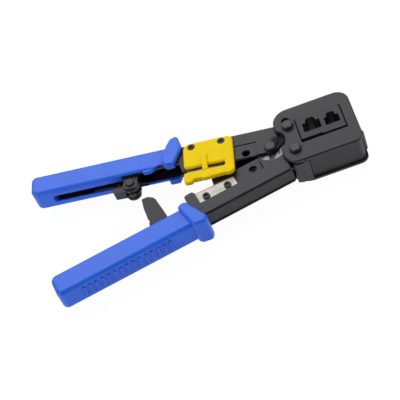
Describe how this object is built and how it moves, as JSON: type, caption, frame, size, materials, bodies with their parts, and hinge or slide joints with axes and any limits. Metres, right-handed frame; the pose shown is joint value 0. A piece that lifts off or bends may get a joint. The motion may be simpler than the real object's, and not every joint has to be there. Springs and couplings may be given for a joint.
{
  "type": "modular plug crimping tool",
  "caption": "Two-handled crimping tool with plug pockets in a black head, a guarded cutter blade, moulded grips and a lock catch; its arms drive a plunger.",
  "frame": {"origin": "centre of the 8-way plug pocket's mouth, in the front face of the die block", "axes": "+X along the head towards its nose, +Y towards the upper handle, +Z out of the front face of the head"},
  "size_m": [0.2251, 0.1051, 0.0283],
  "materials": {
    "black_steel": "satin black coating over pressed steel",
    "bright_steel": "bare ground steel washers",
    "blade_steel": "ground tool steel",
    "blue_grip": "moulded blue plastic, soft gloss",
    "yellow_guard": "moulded yellow plastic, glossy",
    "spring_steel": "dark spring wire",
    "phosphated_steel": "phosphated steel",
    "die_black": "black moulded die block",
    "dark_catch_steel": "dark grey coated steel",
    "screw_black": "black oxide screws",
    "pin_black": "black pins with rubbed edges"
  },
  "bodies": {
    "head": {"head_front_plate": "black_steel", "head_rear_plate": "black_steel", "head_side_wall": "black_steel", "head_nose_bar": "black_steel", "die_backing_block": "black_steel", "head_screws": "screw_black", "die_block": "die_black", "head_corner_post": "black_steel", "head_pivot_pin": "pin_black", "head_pivot_clip": "pin_black", "head_pivot_spacer": "pin_black"},
    "plunger": {"crimp_plunger": "phosphated_steel", "contact_punch_8p": "blade_steel", "contact_punch_6p": "blade_steel", "strain_relief_punch": "blade_steel", "trimming_blade": "blade_steel", "trimming_blade_screws": "screw_black"},
    "lower_arm": {"lower_arm_channel": "black_steel", "lower_arm_front_plate": "black_steel", "lower_arm_rear_plate": "black_steel", "main_pivot_pin": "pin_black", "main_pivot_clip": "pin_black", "main_pivot_washers": "bright_steel", "cutter_blade": "blade_steel", "cutter_blade_screws": "screw_black", "handle_stop": "black_steel", "arm_set_screw": "screw_black", "lower_grip": "blue_grip", "lower_grip_ribs": "blue_grip", "strike_plate": "dark_catch_steel", "strike_plate_rivets": "pin_black"},
    "upper_arm": {"upper_arm_channel": "black_steel", "plunger_pin": "pin_black", "plunger_pin_clip": "pin_black", "plunger_pin_spacer": "pin_black", "cutting_anvil": "blade_steel", "blade_guard": "yellow_guard", "guard_screws": "screw_black", "upper_grip": "blue_grip", "catch_bracket": "dark_catch_steel", "catch_rivet": "dark_catch_steel", "catch_spring": "spring_steel"},
    "catch": {"lock_catch": "dark_catch_steel"}
  },
  "joints": [
    {"name": "lower_arm_hinge", "type": "hinge", "parent": "head", "child": "lower_arm", "pos_m": [-0.0153, -0.0145, -0.00975], "axis": [0, 0, 1], "range_deg": [-9.5, 0], "stiffness_Nm_per_rad": 3, "springref_deg": 2.86},
    {"name": "upper_arm_hinge", "type": "hinge", "parent": "lower_arm", "child": "upper_arm", "pos_m": [-0.0305, -0.004, -0.00975], "axis": [0, 0, 1], "range_deg": [0, 19]},
    {"name": "plunger_slide", "type": "slide", "parent": "head", "child": "plunger", "axis": [0, 1, 0], "range_m": [0, 0.00474]},
    {"name": "catch_hinge", "type": "hinge", "parent": "upper_arm", "child": "catch", "pos_m": [-0.12754, 0.00991, -0.00975], "axis": [0, 0, 1], "range_deg": [-15, 0], "stiffness_Nm_per_rad": 0.02, "springref_deg": 17.19, "deforming": ["catch_spring"]}
  ],
  "couplings": [
    {"joint": "upper_arm_hinge", "follows": "lower_arm_hinge", "ratio": -2},
    {"joint": "plunger_slide", "follows": "lower_arm_hinge", "m_per_rad": -0.0285}
  ]
}
